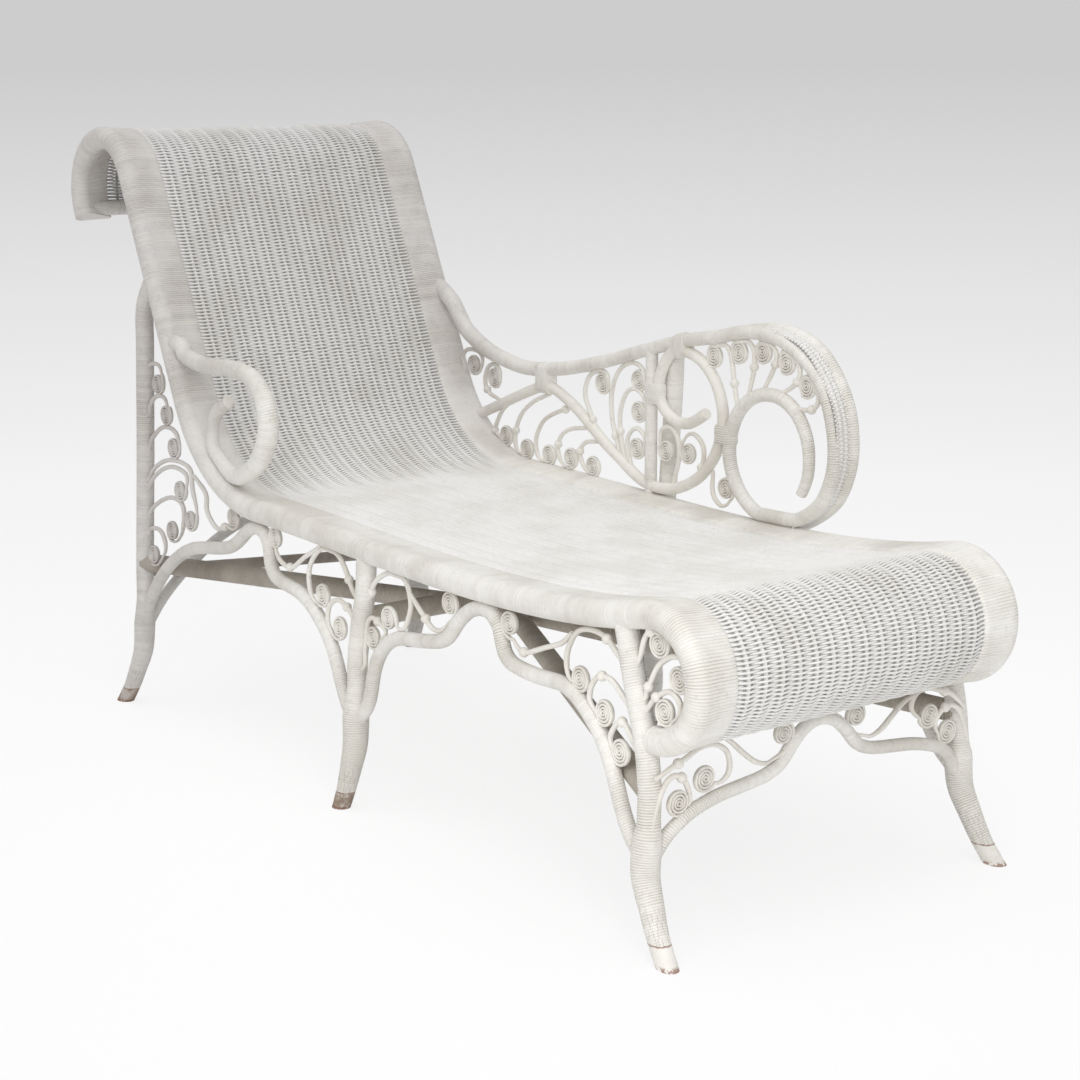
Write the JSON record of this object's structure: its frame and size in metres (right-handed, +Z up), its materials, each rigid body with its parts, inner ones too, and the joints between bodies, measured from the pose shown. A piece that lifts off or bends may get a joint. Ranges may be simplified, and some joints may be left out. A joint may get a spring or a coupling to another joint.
{
  "type": "wicker chaise longue",
  "caption": "Painted wicker chaise longue with a rolled-over back, a rolled foot, a long scrolled arm, a small loop arm, and coiled reed scrollwork between bent legs.",
  "frame": {"origin": "centre of the footprint's bounding box, at the floor", "axes": "+X towards the rolled foot, +Y towards the side with the long arm, +Z up"},
  "size_m": [1.6374, 0.6216, 0.975],
  "materials": {
    "cane_wrap_paint": "aged off-white paint over rattan poles wrapped in flat cane",
    "pole_paint": "aged off-white paint on bare rattan poles",
    "woven_reed_paint": "aged off-white paint on woven round reed",
    "reed_paint": "aged off-white paint on bent round reed",
    "worn_paint": "thin, worn grey-brown paint on poles under the seat"
  },
  "bodies": {
    "root": {"apron_back": "cane_wrap_paint", "apron_front": "cane_wrap_paint", "arm_long_inner_post": "cane_wrap_paint", "arm_long_lower_scroll": "pole_paint", "arm_long_outer_post": "cane_wrap_paint", "arm_long_outer_rail": "cane_wrap_paint", "arm_long_top_rail": "cane_wrap_paint", "arm_long_woven_strip": "woven_reed_paint", "arm_short": "cane_wrap_paint", "brace_back_far": "worn_paint", "brace_back_near": "worn_paint", "brace_front_far": "worn_paint", "brace_front_near": "worn_paint", "crest_tail_bar": "cane_wrap_paint", "curls_arm_crown": "reed_paint", "curls_arm_fan": "reed_paint", "curls_arm_foot": "reed_paint", "curls_arm_middle": "reed_paint", "curls_arm_post": "reed_paint", "curls_arm_rear": "reed_paint", "curls_back_bay_far": "reed_paint", "curls_back_bay_near": "reed_paint", "curls_back_far": "reed_paint", "curls_back_near": "reed_paint", "curls_foot_roll_far": "reed_paint", "curls_foot_roll_near": "reed_paint", "curls_front_apron_far": "reed_paint", "curls_front_apron_near": "reed_paint", "curls_front_bay_far": "reed_paint", "curls_front_bay_near": "reed_paint", "curls_front_leg_far": "reed_paint", "curls_front_leg_near": "reed_paint", "foot_roll_tail_bar": "cane_wrap_paint", "leg_back_far": "cane_wrap_paint", "leg_back_near": "cane_wrap_paint", "leg_front_far": "cane_wrap_paint", "leg_front_near": "cane_wrap_paint", "leg_mid_far": "cane_wrap_paint", "leg_mid_near": "cane_wrap_paint", "seat_bar_back": "pole_paint", "seat_bar_front": "pole_paint", "seat_bar_mid": "pole_paint", "side_arch_back_far": "cane_wrap_paint", "side_arch_back_near": "cane_wrap_paint", "side_arch_front_far": "cane_wrap_paint", "side_arch_front_near": "cane_wrap_paint", "side_rail_far": "cane_wrap_paint", "side_rail_near": "cane_wrap_paint", "stretcher_back": "worn_paint", "stretcher_mid": "worn_paint", "woven_back": "woven_reed_paint", "woven_foot_roll": "woven_reed_paint", "woven_seat": "woven_reed_paint"}
  },
  "joints": []
}
